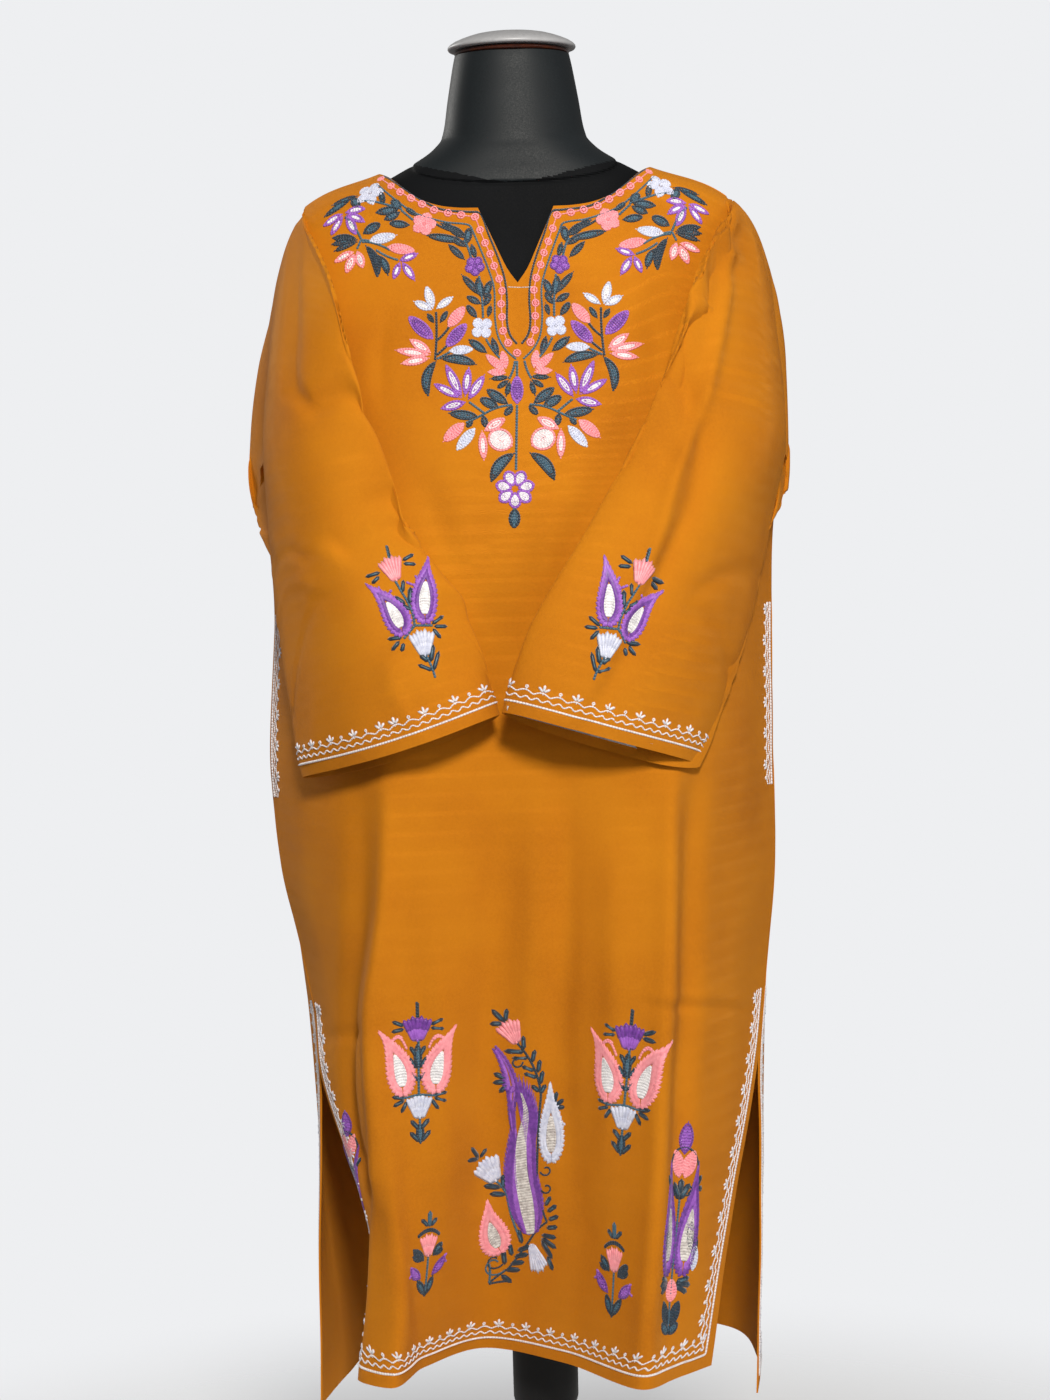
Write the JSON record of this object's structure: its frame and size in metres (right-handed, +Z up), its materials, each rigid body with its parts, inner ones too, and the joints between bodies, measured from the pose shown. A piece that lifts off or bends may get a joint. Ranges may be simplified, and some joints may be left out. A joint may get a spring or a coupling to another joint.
{
  "type": "pheran on a dress form",
  "caption": "Long straight tunic with a notched round neck, side pockets and deep side slits, worn by a limbless dress form on a post with its sleeves brought together in front.",
  "frame": {"origin": "centre of the base's underside, on the floor", "axes": "+Z up along the pole, the front of the garment looks along -Y, +X is the right-hand side as seen from the front"},
  "size_m": [0.4983, 0.3737, 1.5185],
  "materials": {
    "cloth": "soft napped wool twill, mustard yellow",
    "pocket_cloth": "plain lining cloth, mustard yellow",
    "form": "matt black jersey stretched over the form",
    "disc_wood": "dark varnished wood",
    "cap_metal": "polished grey metal",
    "pole_metal": "polished tube",
    "base_metal": "satin black paint"
  },
  "bodies": {
    "root": {"front": "cloth", "back": "cloth", "sleeve_left": "cloth", "sleeve_right": "cloth", "pocket_left": "pocket_cloth", "pocket_right": "pocket_cloth", "form_body": "form", "neck_disc": "disc_wood", "neck_cap": "cap_metal", "post": "form", "pole": "pole_metal", "base": "base_metal"}
  },
  "joints": []
}
